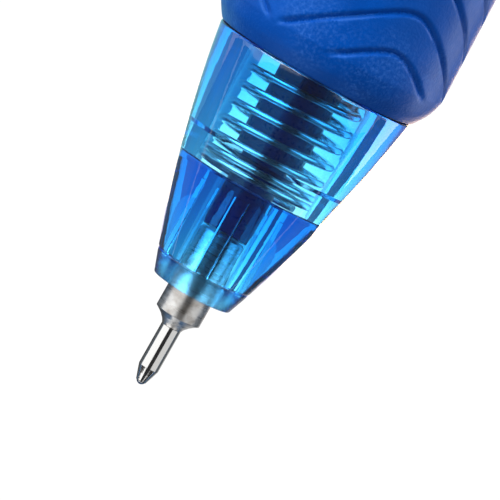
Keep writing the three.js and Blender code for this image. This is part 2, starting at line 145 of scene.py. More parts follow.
def mesh_piece(name, points, faces, sharp_degrees=40):
    """A smooth-shaded object from points and faces, welded, with its faces pointing out."""
    mesh = bpy.data.meshes.new(name)
    mesh.from_pydata(points.tolist(), [], faces.tolist())
    build = bmesh.new()
    build.from_mesh(mesh)
    bmesh.ops.remove_doubles(build, verts=build.verts, dist=1e-8)
    bmesh.ops.recalc_face_normals(build, faces=build.faces)
    build.to_mesh(mesh)
    build.free()
    mesh.shade_smooth()
    mesh.set_sharp_from_angle(angle=math.radians(sharp_degrees))
    piece = bpy.data.objects.new(name, mesh)
    bpy.context.scene.collection.objects.link(piece)
    return piece


def skin_faces(rows, columns, wrap_rows):
    """Quads over a grid of points whose columns go right round."""
    index = np.arange(rows * columns).reshape(rows, columns)
    near = index if wrap_rows else index[:-1]
    far = np.roll(index, -1, axis=0) if wrap_rows else index[1:]
    quads = [near, far, np.roll(far, -1, axis=1), np.roll(near, -1, axis=1)]
    return np.stack(quads, -1).reshape(-1, 4)


def turned(name, outline, sides=144, shape=None, sharp_degrees=40):
    """A closed (x, r) outline turned round the axis. shape(x, r, phi) may move its points."""
    x, r = np.array(outline, float).T
    phi = np.arange(sides) * TURN / sides
    x, phi = np.meshgrid(x, phi, indexing="ij")
    r = np.broadcast_to(r[:, None], x.shape)
    if shape:
        x, r = shape(x, r, phi)
    faces = skin_faces(*x.shape, wrap_rows=True)
    return mesh_piece(name, at(x, r, phi).reshape(-1, 3), faces, sharp_degrees)


def swept(name, line, section):
    """A section of (side, up) offsets carried along a line of points in metres.

    line holds (point, side, up) vectors for each step, and the ends are closed by fans.
    """
    rings = [[line[0][0]] * len(section)]
    for point, side, up in line:
        rings.append([point + side * a * MM + up * b * MM for a, b in section])
    rings.append([line[-1][0]] * len(section))
    points = np.array([[list(p) for p in ring] for ring in rings])
    faces = skin_faces(len(rings), len(section), wrap_rows=False)
    return mesh_piece(name, points.reshape(-1, 3), faces)


def circle(radius, sides):
    return [(radius * math.cos(TURN * k / sides), radius * math.sin(TURN * k / sides))
            for k in range(sides)]


def wire(name, centres, radius, sides=14):
    """A round wire through points in metres."""
    centres = [Vector(p) for p in centres]
    axis = Vector((1, 0, 0))
    line = []
    for i, point in enumerate(centres):
        along = (centres[min(i + 1, len(centres) - 1)] - centres[max(i - 1, 0)]).normalized()
        side = axis.cross(along)
        side = side.normalized() if side.length > 1e-6 else Vector((0, 1, 0))
        line.append((point, side, along.cross(side)))
    return swept(name, line, circle(radius, sides))


def cut(piece, cutter):
    """Takes the cutter's shape out of the piece and removes the cutter."""
    boolean = piece.modifiers.new("cut", "BOOLEAN")
    boolean.object = cutter
    boolean.solver = "EXACT"
    evaluated = piece.evaluated_get(bpy.context.evaluated_depsgraph_get())
    mesh = bpy.data.meshes.new_from_object(evaluated)
    piece.modifiers.clear()
    piece.data = mesh
    mesh.shade_smooth()
    mesh.set_sharp_from_angle(angle=math.radians(30))
    bpy.data.objects.remove(cutter)


# ---- materials ---------------------------------------------------------------------------------


NOISE_ROUGHNESS = 0.55


class Look:
    """A Principled material with a few helpers for its procedural nodes."""

    def __init__(self, name, **sockets):
        self.material = bpy.data.materials.new(name)
        self.material.use_nodes = True
        self.tree = self.material.node_tree
        self.shader = self.tree.nodes["Principled BSDF"]
        for socket, value in sockets.items():
            self.shader.inputs[socket.replace("_", " ")].default_value = value
        self.place = self.tree.nodes.new("ShaderNodeTexCoord").outputs["Object"]

    def node(self, kind, inputs=(), **settings):
        made = self.tree.nodes.new(kind)
        for key, value in settings.items():
            setattr(made, key, value)
        for key, value in dict(inputs).items():
            if isinstance(value, bpy.types.NodeSocket):
                self.tree.links.new(value, made.inputs[key])
            else:
                made.inputs[key].default_value = value
        return made

    def noise(self, size, detail=3.0, stretch=(1, 1, 1)):
        """Noise whose features are about size millimetres across, before the stretch."""
        scale = [1 / (size * MM * s) for s in stretch]
        placed = self.node("ShaderNodeMapping", {"Vector": self.place, "Scale": scale})
        made = self.node("ShaderNodeTexNoise", {
            "Vector": placed.outputs["Vector"], "Scale": 1.0, "Detail": detail,
            "Roughness": NOISE_ROUGHNESS,
        })
        return made.outputs["Fac"]

    def ramp(self, value, low, high, to_low=0.0, to_high=1.0):
        """Maps value from low..high to to_low..to_high, clamped."""
        made = self.node("ShaderNodeMapRange", {
            "Value": value, "From Min": low, "From Max": high, "To Min": to_low,
            "To Max": to_high,
        })
        return made.outputs["Result"]

    def mix(self, share, first, second):
        made = self.node("ShaderNodeMix", data_type="RGBA")
        for socket, value in (("Factor", share), ("A", first), ("B", second)):
            kind = "VALUE" if socket == "Factor" else "RGBA"
            target = next(s for s in made.inputs if s.name == socket and s.type == kind)
            if isinstance(value, bpy.types.NodeSocket):
                self.tree.links.new(value, target)
            else:
                target.default_value = value
        return next(s for s in made.outputs if s.type == "RGBA")

    def product(self, first, second):
        return self.node("ShaderNodeMath", {0: first, 1: second}, operation="MULTIPLY").outputs[0]

    def along(self):
        """The place along the pen, in the frame's metres."""
        return self.node("ShaderNodeSeparateXYZ", {"Vector": self.place}).outputs["X"]

    def set(self, socket, value):
        self.tree.links.new(value, self.shader.inputs[socket])

    def bump(self, height, depth):
        """Bumps the surface by height (0 to 1) times depth millimetres."""
        made = self.node("ShaderNodeBump", {
            "Height": height, "Distance": depth * MM, "Strength": 1.0,
        })
        previous = self.shader.inputs["Normal"].links
        if previous:
            self.tree.links.new(previous[0].from_socket, made.inputs["Normal"])
        self.set("Normal", made.outputs["Normal"])


SATIN_LIP = 1.1             # the nose cone is satin from its front to here, and polished behind
POLISHED_NEEDLE = -1.93     # the metal point is polished from its front to here


def tinted_plastic():
    """Clear blue polycarbonate with a satin lip, coloured by its thickness.

    It is polished, with flow waves, fine streaks along the pen and a faint haze.
    """
    look = Look("tinted_plastic", Base_Color=(0.97, 0.99, 1, 1), IOR=1.56,
                Transmission_Weight=1.0, Sheen_Weight=0.09, Sheen_Roughness=0.6,
                Sheen_Tint=(0.66, 0.76, 1, 1))
    lip_end = NOSE_FRONT.x + SATIN_LIP * MM
    look.set("Roughness", look.ramp(look.along(), lip_end - 0.1 * MM, lip_end, 0.22, 0.02))
    look.bump(look.noise(2.2, detail=1, stretch=(3, 1, 1)), 0.012)
    look.bump(look.noise(0.35, detail=2, stretch=(14, 1, 1)), 0.004)
    absorption = look.node("ShaderNodeVolumeAbsorption", {
        "Color": (0.02, 0.68, 0.92, 1), "Density": 1120.0,
    })
    output = look.tree.nodes["Material Output"]
    look.tree.links.new(absorption.outputs["Volume"], output.inputs["Volume"])
    return look.material


def grip_rubber():
    """Satin rubber with a fine moulded grain, a slight bloom and patches of fine pale dust."""
    look = Look("grip_rubber", Roughness=0.42, Sheen_Weight=0.02, Sheen_Roughness=0.35,
                Sheen_Tint=(0.7, 0.72, 1, 1), Specular_IOR_Level=0.28,
                Specular_Tint=(0.2, 0.5, 1, 1))
    bloom = look.ramp(look.noise(1.6, detail=5), 0.35, 0.75)
    base = look.mix(bloom, (0.0002, 0.042, 0.25, 1), (0.0005, 0.052, 0.3, 1))
    dust = look.product(
        look.ramp(look.noise(2.8, detail=2), 0.42, 0.66, 0.0, 0.5),
        look.ramp(look.noise(0.16, detail=4), 0.46, 0.7),
    )
    look.set("Base Color", look.mix(dust, base, (0.03, 0.12, 0.44, 1)))
    look.set("Roughness", look.ramp(look.noise(0.5, detail=4), 0.3, 0.7, 0.32, 0.44))
    look.bump(look.noise(0.12, detail=3), 0.016)
    look.bump(look.noise(0.9, detail=2), 0.02)
    return look.material


def turned_metal(name, color, dull, roughness, polished_before=None):
    """Metal turned on a lathe: fine rings round the axis, and a few dull stains.

    polished_before is the x in millimetres that the polished front end of the piece stops at.
    """
    look = Look(name, Metallic=1.0, Roughness=roughness)
    stain = look.ramp(look.noise(0.55, detail=6), 0.4, 0.66)
    rings = look.noise(0.045, detail=3, stretch=(1, 60, 60))
    rough = look.ramp(rings, 0.3, 0.7, roughness * 0.75, roughness * 1.35)
    if polished_before is not None:
        end = NOSE_FRONT.x + polished_before * MM
        body = look.ramp(look.along(), end - 0.1 * MM, end + 0.1 * MM)
        stain = look.product(stain, body)
        rough = look.product(rough, look.ramp(body, 0, 1, 0.4, 1.3))
    look.set("Base Color", look.mix(stain, (*color, 1), (*dull, 1)))
    look.set("Roughness", rough)
    look.bump(rings, 0.0008)
    return look.material


def spring_steel():
    """Bright drawn wire, with a slight drift in its colour and polish."""
    look = Look("spring_steel", Metallic=1.0, Roughness=0.17)
    tint = look.ramp(look.noise(1.4, detail=3), 0.4, 0.7)
    look.set("Base Color", look.mix(tint, (0.88, 0.9, 0.92, 1), (0.76, 0.77, 0.77, 1)))
    look.set("Roughness", look.ramp(look.noise(0.6, detail=2), 0.3, 0.7, 0.13, 0.22))
    return look.material


def moulded_plastic(name, light, dark, roughness=0.3):
    """Opaque moulded plastic: slight colour drift and a fine spark-eroded grain."""
    look = Look(name, Roughness=roughness, Specular_IOR_Level=0.5)
    drift = look.ramp(look.noise(2.5, detail=4), 0.35, 0.7)
    look.set("Base Color", look.mix(drift, (*dark, 1), (*light, 1)))
    grain = look.noise(0.18, detail=3)
    look.set("Roughness", look.ramp(grain, 0.3, 0.7, roughness * 0.8, roughness * 1.25))
    look.bump(grain, 0.004)
    return look.material


def refill_tube():
    """Milky clear polypropylene."""
    look = Look("refill_tube", Base_Color=(0.93, 0.96, 0.98, 1), IOR=1.49,
                Transmission_Weight=0.85)
    look.set("Roughness", look.ramp(look.noise(0.6, detail=3), 0.3, 0.7, 0.07, 0.12))
    return look.material


def seal_rubber():
    """Black rubber with a fine grain."""
    look = Look("seal_rubber", Roughness=0.5)
    grain = look.noise(0.1, detail=3)
    look.set("Base Color", look.mix(grain, (0.01, 0.01, 0.012, 1), (0.03, 0.03, 0.034, 1)))
    look.bump(grain, 0.006)
    return look.material


def chrome():
    """Bright plate with hairline scratches and a faint haze of handling."""
    look = Look("chrome", Metallic=1.0, Roughness=0.07)
    haze = look.ramp(look.noise(3.0, detail=6), 0.4, 0.75)
    look.set("Base Color", look.mix(haze, (0.86, 0.87, 0.89, 1), (0.74, 0.75, 0.78, 1)))
    scratches = look.noise(0.05, detail=4, stretch=(60, 1, 1))
    look.set("Roughness", look.ramp(scratches, 0.45, 0.75, 0.05, 0.2))
    look.bump(scratches, 0.0008)
    return look.material


LOOKS = {
    "tinted_plastic": tinted_plastic(),
    "grip_rubber": grip_rubber(),
    "nickel_silver": turned_metal("nickel_silver", (0.76, 0.755, 0.74), (0.46, 0.43, 0.4), 0.24,
                                  polished_before=POLISHED_NEEDLE),
    "carbide": turned_metal("carbide", (0.4, 0.41, 0.43), (0.25, 0.25, 0.27), 0.12),
    "spring_steel": spring_steel(),
    "navy_plastic": moulded_plastic("navy_plastic", (0.008, 0.04, 0.22), (0.004, 0.025, 0.15)),
    "refill_tube": refill_tube(),
    "ink": moulded_plastic("ink", (0.008, 0.02, 0.3), (0.005, 0.012, 0.22), 0.12),
    "grease": moulded_plastic("grease", (0.8, 0.76, 0.55), (0.7, 0.66, 0.45), 0.25),
    "seal_rubber": seal_rubber(),
    "white_acetal": moulded_plastic("white_acetal", (0.85, 0.86, 0.87), (0.78, 0.79, 0.8), 0.35),
    "blue_plastic": moulded_plastic("blue_plastic", (0.012, 0.1, 0.46), (0.008, 0.08, 0.38), 0.22),
    "chrome": chrome(),
}


def stands_for(piece, body, node, slot):
    """Paints a piece, rides it on its body, and lets it stand for its CAD node."""
    piece.data.materials.clear()
    piece.data.materials.append(LOOKS[slot])
    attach(piece, body)
    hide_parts(node)


# ---- nose cone, seal and return spring ---------------------------------------------------------

NOSE_LENGTH = 12.0
NOSE_FRONT_RADIUS = 2.02
NOSE_SLOPES = (math.radians(20.3), math.radians(8.5))   # the outside is one arc between them
NOSE_EDGE = 0.09
NOSE_ARC_STEPS = 40
LIP_GROOVE = 4                      # the step of the arc that the groove behind the lip is at
GUIDE_BORE, LIP_BORE, LIP_LENGTH = 1.42, 1.22, 1.15
GUIDE_RIBS, GUIDE_RIB_RADIUS, GUIDE_RIB_WIDTH, GUIDE_RIB_END = 4, 1.26, 0.6, 5.4
SPIGOT, SPIGOT_END = 3.85, 18.0
THREAD_START, THREAD_END, THREAD_PITCH = 13.4, 17.9, 1.5
THREAD_ROOT, THREAD_CREST = 3.75, 4.2
BARREL_THREAD_START = THREAD_START - 0.9    # the barrel's thread runs out through its mouth
BARREL_THREAD_CLEARANCE = 0.18


def nose_arc():
    """The cone's outside from front to rear, as evenly spaced steps of an arc."""
    first, last = NOSE_SLOPES
    radius = NOSE_LENGTH / (math.sin(first) - math.sin(last))
    arc = []
    for k in range(NOSE_ARC_STEPS + 1):
        slope = first + (last - first) * k / NOSE_ARC_STEPS
        arc.append((radius * (math.sin(first) - math.sin(slope)),
                    NOSE_FRONT_RADIUS + radius * (math.cos(slope) - math.cos(first))))
    return arc


def threaded(clearance, start, x, r, phi):
    """Raises the wall to a right-hand thread where it runs from start to the thread's end."""
    turns = (x - THREAD_START) / THREAD_PITCH - (phi / TURN + 0.25)
    ridge = 1 - np.abs(2 * (turns - np.floor(turns)) - 1)
    ridge = smoothstep(0.12, 0.88, ridge)
    ends = smoothstep(start - 0.1, start + 0.25, x)
    ends = ends * smoothstep(THREAD_END + 0.1, THREAD_END - 0.25, x)
    raised = THREAD_ROOT + clearance + (THREAD_CREST - THREAD_ROOT) * ridge
    return x, r + (np.maximum(raised, r) - r) * ends


def nose_shape(x, r, phi):
    """Raises the thread on the spigot, and the low ribs in the guide bore."""
    on_outside = (r > 3.6) & (x > THREAD_START - 0.1)
    threaded_x, threaded_r = threaded(0.0, THREAD_START, x, r, phi)
    in_guide = (r < GUIDE_BORE + 0.02) & (x > LIP_LENGTH + 0.01) & (x < GUIDE_RIB_END + 0.01)
    half = GUIDE_RIB_WIDTH / 2
    rib = smoothstep(half + 0.04, half - 0.04, off_centre(GUIDE_RIBS, phi) * r)
    guide_r = r + (np.minimum(r, GUIDE_RIB_RADIUS) - r) * rib
    return threaded_x, np.where(on_outside, threaded_r, np.where(in_guide, guide_r, r))


def nose_cone():
    """Lip with a shallow groove behind it, curved cone, threaded spigot and stepped bore."""
    arc = nose_arc()
    lip_end, cone_start = arc[LIP_GROOVE - 1], arc[LIP_GROOVE + 1]
    front = rounded([
        (0.4, LIP_BORE), (0, LIP_BORE, 0.06), (0, NOSE_FRONT_RADIUS, NOSE_EDGE), lip_end,
    ], closed=False)
    groove_x, groove_r = arc[LIP_GROOVE]
    groove = rounded([
        lip_end, (groove_x - 0.08, groove_r - 0.03, 0.05), (groove_x, groove_r - 0.04, 0.05),
        (groove_x + 0.08, groove_r + 0.03, 0.05), cone_start,
    ], closed=False)
    cone = arc[LIP_GROOVE + 1:-3]
    rear = rounded([
        arc[-2], (NOSE_LENGTH, arc[-1][1], 0.15), (NOSE_LENGTH, SPIGOT, 0.05), (13.2, SPIGOT),
    ], closed=False)
    thread = stepped((13.2, SPIGOT), (SPIGOT_END, SPIGOT), 0.06)
    bore = rounded([
        (SPIGOT_END, SPIGOT), (18.2, SPIGOT, 0.12), (18.2, 3.35, 0.12), (7.5, 3.12, 0.08),
        (7.3, 3.02, 0.08), (5.9, 3.0, 0.1), (5.9, GUIDE_BORE, 0.05),
        (GUIDE_RIB_END + 0.02, GUIDE_BORE), (GUIDE_RIB_END, GUIDE_BORE),
        (LIP_LENGTH + 0.02, GUIDE_BORE), (LIP_LENGTH, GUIDE_BORE), (LIP_LENGTH, LIP_BORE, 0.02),
        (0.4, LIP_BORE),
    ], closed=False)
    outline = front[1:-1] + groove[:-1] + cone + rear[:-1] + thread + bore
    return turned("nose_shell", outline, 192, nose_shape)


SEAL_X, SEAL_RADIUS, SEAL_WIRE = 12.5, 4.35, 0.4


def nose_seal():
    ring = [(SEAL_X + a, SEAL_RADIUS + b) for a, b in circle(SEAL_WIRE, 20)]
    return turned("nose_o_ring", ring, 96)


SPRING_WIRE, SPRING_COIL = 0.19, 2.79
SPRING_FRONT, SPRING_REAR = 6.16, 18.74
SPRING_CLOSED_TURNS, SPRING_CLOSED_PITCH, SPRING_PITCH = 2, 0.45, 0.885
SPRING_LOOP = 7.87          # where the wire crosses the -Y side


def spring_centres(steps_per_turn=72):
    """A helix with closed turns at both ends and open turns between them."""
    closed = SPRING_CLOSED_TURNS * SPRING_CLOSED_PITCH
    open_front, open_rear = SPRING_FRONT + closed, SPRING_REAR - closed
    open_turns = (open_rear - open_front) / SPRING_PITCH
    corners_turn = [0, SPRING_CLOSED_TURNS, SPRING_CLOSED_TURNS + open_turns,
                    2 * SPRING_CLOSED_TURNS + open_turns]
    corners_x = [SPRING_FRONT, open_front, open_rear, SPRING_REAR]
    turn = np.linspace(0, corners_turn[-1], round(corners_turn[-1] * steps_per_turn))
    ease = np.linspace(-0.12, 0.12, 9)
    x = np.mean([np.interp(turn + e, corners_turn, corners_x) for e in ease], axis=0)
    loop_turn = SPRING_CLOSED_TURNS + (SPRING_LOOP - open_front) / SPRING_PITCH
    phi = TURN * (turn - loop_turn) + TURN / 4
    return at(x, SPRING_COIL, phi)


stands_for(nose_cone(), "nose_cone", "nose_cone", "tinted_plastic")
stands_for(nose_seal(), "nose_seal", "nose_seal", "seal_rubber")

return_coil = wire("return_coil", spring_centres(), SPRING_WIRE)
return_coil.data.materials.append(LOOKS["spring_steel"])
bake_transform(return_coil)
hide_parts("return_spring")


# ---- refill ------------------------------------------------------------------------------------


BALL_CENTRE, BALL_RADIUS, BALL_STEPS = -4.8, 0.25, 24
POINT_COIL_START, POINT_COIL_LENGTH, POINT_COIL_TURNS, POINT_COIL_RADIUS = -1.1, 7.0, 11, 0.33
POINT_PIN_START, POINT_PIN_END, POINT_WIRE = -4.46, -1.2, 0.06


def writing_ball():
    half_turn = [math.pi * k / BALL_STEPS for k in range(BALL_STEPS + 1)]
    dome = [(BALL_CENTRE - BALL_RADIUS * math.cos(a), BALL_RADIUS * math.sin(a))
            for a in half_turn]
    return turned("ball", dome, 2 * BALL_STEPS)


def tip_socket():
    """Needle tube with a spun-over lip, a stepped shoulder with two tool rings, and a body."""
    return turned("point_socket", rounded([
        (-4.86, 0.252), (-4.9, 0.262, 0.01), (-4.86, 0.27, 0.015), (-4.5, 0.395, 0.6),
        (-4.15, 0.51, 0.02), (-1.94, 0.51, 0.08), (-1.8, 0.58, 0.03), (-1.7, 0.66, 0.03),
        (-1.67, 0.7, 0.02), (-1.58, 0.77, 0.02), (-1.54, 0.83, 0.02), (-1.44, 0.96, 0.02),
        (-1.32, 1.15, 0.04),
        (3.4, 1.15, 0.05), (3.55, 1.06, 0.03), (3.55, 0.8, 0.03), (6.4, 0.8, 0.06),
        (6.4, 0.45, 0.05), (-1.37, 0.45, 0.05), (-1.85, 0.3, 0.05), (-4.15, 0.3, 0.02),
        (-4.15, 0.16, 0.02), (-4.42, 0.16), (-4.6, 0.262, 0.05),
    ]), 128)


def point_spring_centres():
    """A straight pin that reaches the ball, then a small coil inside the point's body."""
    turn = np.linspace(0, POINT_COIL_TURNS, POINT_COIL_TURNS * 36)
    along = POINT_COIL_START + POINT_COIL_LENGTH * turn / POINT_COIL_TURNS
    coil = at(along, POINT_COIL_RADIUS * np.minimum(turn, 1), TURN * turn)
    pin = at(np.linspace(POINT_PIN_START, POINT_PIN_END, 12))
    return np.concatenate([pin, coil])


def tip_holder():
    return turned("point_holder", rounded([
        (3.65, 0.9, 0.05), (3.65, 1.14, 0.05), (4.2, 1.2, 0.2), (7.15, 1.2, 0.05),
        (7.3, 1.67, 0.06), (18.1, 1.67, 0.5), (18.9, 2.8, 0.2), (19.0, 2.95, 0.08),
        (20.2, 2.95, 0.05), (20.2, 2.32, 0.05), (24.6, 2.32, 0.2), (24.6, 0.6, 0.2),
        (6.6, 0.6, 0.05), (6.6, 0.9, 0.05),
    ]), 96)


def ink_tube():
    return turned("ink_sleeve", rounded([
        (20.3, 2.42, 0.1), (20.3, 2.95, 0.1), (90, 2.95, 0.1), (90, 2.42, 0.1),
    ]), 96)


def ink_column():
    return turned("ink_fill", rounded([
        (24.8, 0), (24.8, 2.38, 0.3), (74.0, 2.38, 0.15), (73.9, 0),
    ], closed=False), 96)


def ink_follower():
    return turned("follower_plug", rounded([
        (74.0, 0), (74.05, 2.4, 0.15), (77.9, 2.4, 0.1), (77.3, 1.4, 0.6), (77.2, 0),
    ], closed=False), 96)


def refill_tail():
    return turned("tail_plug", rounded([
        (85.4, 0.5, 0.1), (85.4, 2.32, 0.3), (90.1, 2.32, 0.05), (90.1, 2.9, 0.1),
        (92.8, 2.9, 0.3), (92.8, 0.5, 0.1),
    ]), 96)


stands_for(writing_ball(), "writing_ball", "writing_ball", "carbide")
stands_for(tip_socket(), "refill", "tip_socket", "nickel_silver")
stands_for(wire("point_spring", point_spring_centres(), POINT_WIRE, 10), "refill",
           "tip_spring", "spring_steel")
stands_for(tip_holder(), "refill", "tip_holder", "navy_plastic")
stands_for(ink_tube(), "refill", "ink_tube", "refill_tube")
stands_for(ink_column(), "refill", "ink_column", "ink")
stands_for(ink_follower(), "refill", "ink_follower", "grease")
stands_for(refill_tail(), "refill", "refill_tail", "white_acetal")


# ---- barrel and grip ---------------------------------------------------------------------------


def barrel_shape(x, r, phi):
    """Cuts the thread into the socket at the barrel's front."""
    inside_front = (r < 4.3) & (x < 19)
    threaded_x, threaded_r = threaded(BARREL_THREAD_CLEARANCE, BARREL_THREAD_START, x, r, phi)
    return threaded_x, np.where(inside_front, threaded_r, r)


def barrel():
    socket = stepped((18.5, 4.03), (13.1, 4.03), 0.06)
    outline = rounded([
        (13.0, 4.03, 0.1), (13.0, 4.85, 0.15), (20.0, 4.85, 0.1), (20.6, 4.5, 0.1),
        (50.1, 4.5, 0.05), (50.1, 5.72, 0.15), (112.0, 5.55, 0.15), (112.0, 4.65, 0.1),
        (103.8, 4.65, 0.05), (103.8, 4.05, 0.05), (100.7, 4.05, 0.05), (100.7, 3.5, 0.1),
        (18.5, 3.5), (18.5, 4.03),
    ])
    return turned("barrel_tube", outline[:-1] + socket, 160, barrel_shape)


# The grip's grooves are nested chevrons with round tips, in three columns round the pen.
GRIP_CURVE = [
    (12.3, 5.3), (12.8, 5.6), (13.4, 5.8), (13.9, 5.85), (16.0, 5.78), (21.0, 5.62),
    (28.0, 5.52), (34.0, 5.6), (40.0, 5.86), (44.0, 6.05), (45.5, 6.1), (47.5, 6.1),
    (48.8, 6.02), (49.6, 5.9), (49.95, 5.76),
]
GROOVE_COLUMNS = 3
GROOVE_CENTRE = math.radians(30)    # the column that faces between up and -Y
GROOVE_FIRST_TIP = 14.87
GROOVE_PITCH = 2.05
GROOVE_COUNT = 14
GROOVE_SLOPE = 0.70                 # forward run of a leg per millimetre round the grip
GROOVE_RADIUS = 5.8                 # the grip's usual radius, which that run is measured at
GROOVE_TIP_ROUND = 0.68
GROOVE_FRONT_END = 13.5
GROOVE_DEPTH = 0.2
GROOVE_STEEP_WALL = 0.12            # the wall nearer to the nose
GROOVE_EASY_WALL = 0.30


def grooved(x, r, phi):
    """Sinks the chevron grooves into the grip's outside."""
    column = TURN / GROOVE_COLUMNS
    around = (phi - GROOVE_CENTRE + column / 2) % column - column / 2
    run = GROOVE_SLOPE * GROOVE_RADIUS * around
    reach = np.hypot(run, GROOVE_TIP_ROUND) - GROOVE_TIP_ROUND
    number = (x + reach - GROOVE_FIRST_TIP) / GROOVE_PITCH
    nearest = np.clip(np.round(number - 0.08), 0, GROOVE_COUNT - 1)
    slope = GROOVE_SLOPE * run / np.hypot(run, GROOVE_TIP_ROUND)
    offset = (number - nearest) * GROOVE_PITCH / np.hypot(slope, 1)
    depth = GROOVE_DEPTH * np.where(
        offset < 0,
        smoothstep(-GROOVE_STEEP_WALL, 0, offset),
        smoothstep(GROOVE_EASY_WALL, 0, offset),
    )
    depth = depth * smoothstep(GROOVE_FRONT_END - 0.2, GROOVE_FRONT_END + 0.35, x)
    depth = depth * smoothstep(column / 2, column / 2 - 0.09, np.abs(around))
    outside = r > 5.2
    return x, r - np.where(outside, depth, 0)


def grip_sleeve():
    curve = spline(GRIP_CURVE, 24)
    dense = np.concatenate([
        np.arange(12.3, 13.3, 0.1), np.arange(13.3, 20.0, 0.08), np.arange(20.0, 42.5, 0.135),
        np.arange(42.5, 49.9, 0.3), [49.95],
    ])
    curve_x, curve_r = np.array(curve).T
    outside = list(zip(dense, np.interp(dense, curve_x, curve_r)))
    lip = rounded([(12.4, 4.95), (12.05, 4.97, 0.1), (12.05, 5.12, 0.12), outside[0]],
                  closed=False)
    rear = rounded([outside[-1], (50.0, 5.7, 0.05), (50.0, 4.6, 0.1), (20.7, 4.6), (20.1, 4.95)],
                   closed=False)
    return turned("grip_cover", lip[:-1] + outside[:-1] + rear, 300, grooved)


stands_for(barrel(), "barrel", "barrel", "tinted_plastic")
stands_for(grip_sleeve(), "barrel", "grip_sleeve", "grip_rubber")


# ---- click mechanism ---------------------------------------------------------------------------

CLICK_RIBS = 4
CLICK_TEETH = 8
TOOTH_HEIGHT = 0.7
RIB_WIDTH = 1.6
RIB_RADIUS = 3.3
SLOT_DEPTH = 0.4


def tooth_rise(phi):
    """How far a saw-tooth crown stands out at an angle."""
    share = ((phi + TURN / 4) / TURN * CLICK_TEETH) % 1
    return TOOTH_HEIGHT * np.where(share < 0.75, share / 0.75, (1 - share) / 0.25)


def rib_share(r, phi):
    """1 on a rib and 0 between ribs, with a short ramp at its sides."""
    across = off_centre(CLICK_RIBS, phi) * r
    return smoothstep(RIB_WIDTH / 2 + 0.06, RIB_WIDTH / 2 - 0.06, across)


def cam_guide():
    """A sleeve whose bore has four slots between four ribs."""
    def slots(x, r, phi):
        in_slot = smoothstep(math.radians(24.5), math.radians(20.5), off_centre(CLICK_RIBS, phi))
        return x, np.where(r < 3.2, r + SLOT_DEPTH * in_slot, r)

    return turned("guide_sleeve", rounded([
        (100.9, 3.05, 0.1), (100.9, 3.95, 0.1), (112.8, 3.95, 0.1), (112.8, 3.05, 0.1),
    ]), 240, slots)


def ribbed(front, rear):
    """Raises four ribs on the outside between two places."""
    def shape(x, r, phi):
        here = smoothstep(front - 0.05, front + 0.05, x) * smoothstep(rear + 0.05, rear - 0.05, x)
        raised = np.where(r > 2.5, RIB_RADIUS, r)
        return x, r + (raised - r) * here * rib_share(r, phi)
    return shape


def rotor():
    def shape(x, r, phi):
        crown = np.where(x > 100.3, tooth_rise(phi) * smoothstep(1.55, 1.65, r), 0)
        _, ribs = ribbed(95.0, 100.2)(x, r, phi)
        return x + crown, ribs

    front = rounded([
        (95.5, 1.6), (95.5, 1.8, 0.05), (93.0, 1.8, 0.1), (93.0, 2.7, 0.15), (93.2, 2.7),
    ], closed=False)
    wall = stepped((93.2, 2.7), (100.3, 2.7), 0.1)
    rear = [(100.3, 2.7), (100.6, 2.7), (100.6, 1.65), (100.6, 1.6), (95.5, 1.6)]
    return turned("indexing_rotor", front[1:-1] + wall + rear, 240, shape, 30)


def thrust_cam():
    front = 101.4

    def shape(x, r, phi):
        crown = np.where(x < front + 0.1, tooth_rise(phi) * smoothstep(1.55, 1.65, r), 0)
        _, ribs = ribbed(102.3, 108.0)(x, r, phi)
        return x + crown, ribs

    crown_end = [(116.2, 0), (116.2, 1.6), (front, 1.6), (front, 1.65), (front, 2.7)]
    wall = stepped((102.2, 2.7), (108.4, 2.7), 0.1)
    post_end = rounded([
        (108.4, 2.7), (118.2, 2.7, 0.2), (118.2, 1.6, 0.05), (125.2, 1.6, 0.2), (125.2, 0),
    ], closed=False)
    return turned("thrust_plunger", crown_end + wall + post_end[1:], 240, shape, 30)


def push_button():
    """A cap with a gently domed end and a shallow dished face."""
    outside = rounded([
        (118.55, 3.45), (130.75, 3.45, 0.45), (131.45, 2.85, 0.3), (131.5, 2.4), (131.42, 0),
    ], closed=False)
    bore = rounded([(125.5, 0), (125.5, 1.7, 0.1), (118.4, 1.7, 0.1), (118.4, 3.45)],
                   closed=False)
    return turned("button_cap", outside + bore[:-1], 128)


stands_for(cam_guide(), "barrel", "cam_guide", "white_acetal")
stands_for(rotor(), "rotor", "rotor", "white_acetal")
stands_for(thrust_cam(), "button", "thrust_cam", "white_acetal")
stands_for(push_button(), "button", "push_button", "blue_plastic")


# ---- trim ring, collar and clip ----------------------------------------------------------------

CLIP_TURN = math.radians(180 - 59.425)     # round from straight up to the clip's side
CLIP_WIDTH = 4.2
CLIP_THICKNESS = 0.7
CLIP_LINE = [
    (116.3, 4.8), (116.3, 6.4), (115.95, 7.35), (114.9, 7.92), (113.3, 8.0), (108, 8.0),
    (98, 7.7), (91, 6.95), (87.6, 6.15), (86.2, 6.05), (84.9, 6.25), (83.6, 6.9),
]


def trim_ring():
    return turned("trim_band", rounded([
        (112.1, 4.65, 0.05), (112.1, 5.9, 0.18), (113.3, 5.9, 0.18), (113.3, 4.65, 0.05),
    ]), 144)


def rear_collar():
    collar = turned("collar_cap", rounded([
        (104.0, 4.05, 0.05), (104.0, 4.55, 0.1), (113.4, 4.55, 0.02), (113.4, 6.1, 0.4),
        (120.5, 6.1, 4), (126.3, 5.0, 0.6), (126.3, 3.6, 0.25), (113.0, 3.6, 0.05),
        (113.0, 4.05, 0.05),
    ], steps=10), 160)
    slot = clip_strip("slot_cutter", [(116.3, 4.4), (116.3, 8.0)], 4.9, 1.7, 0.3)
    cut(collar, slot)
    return collar


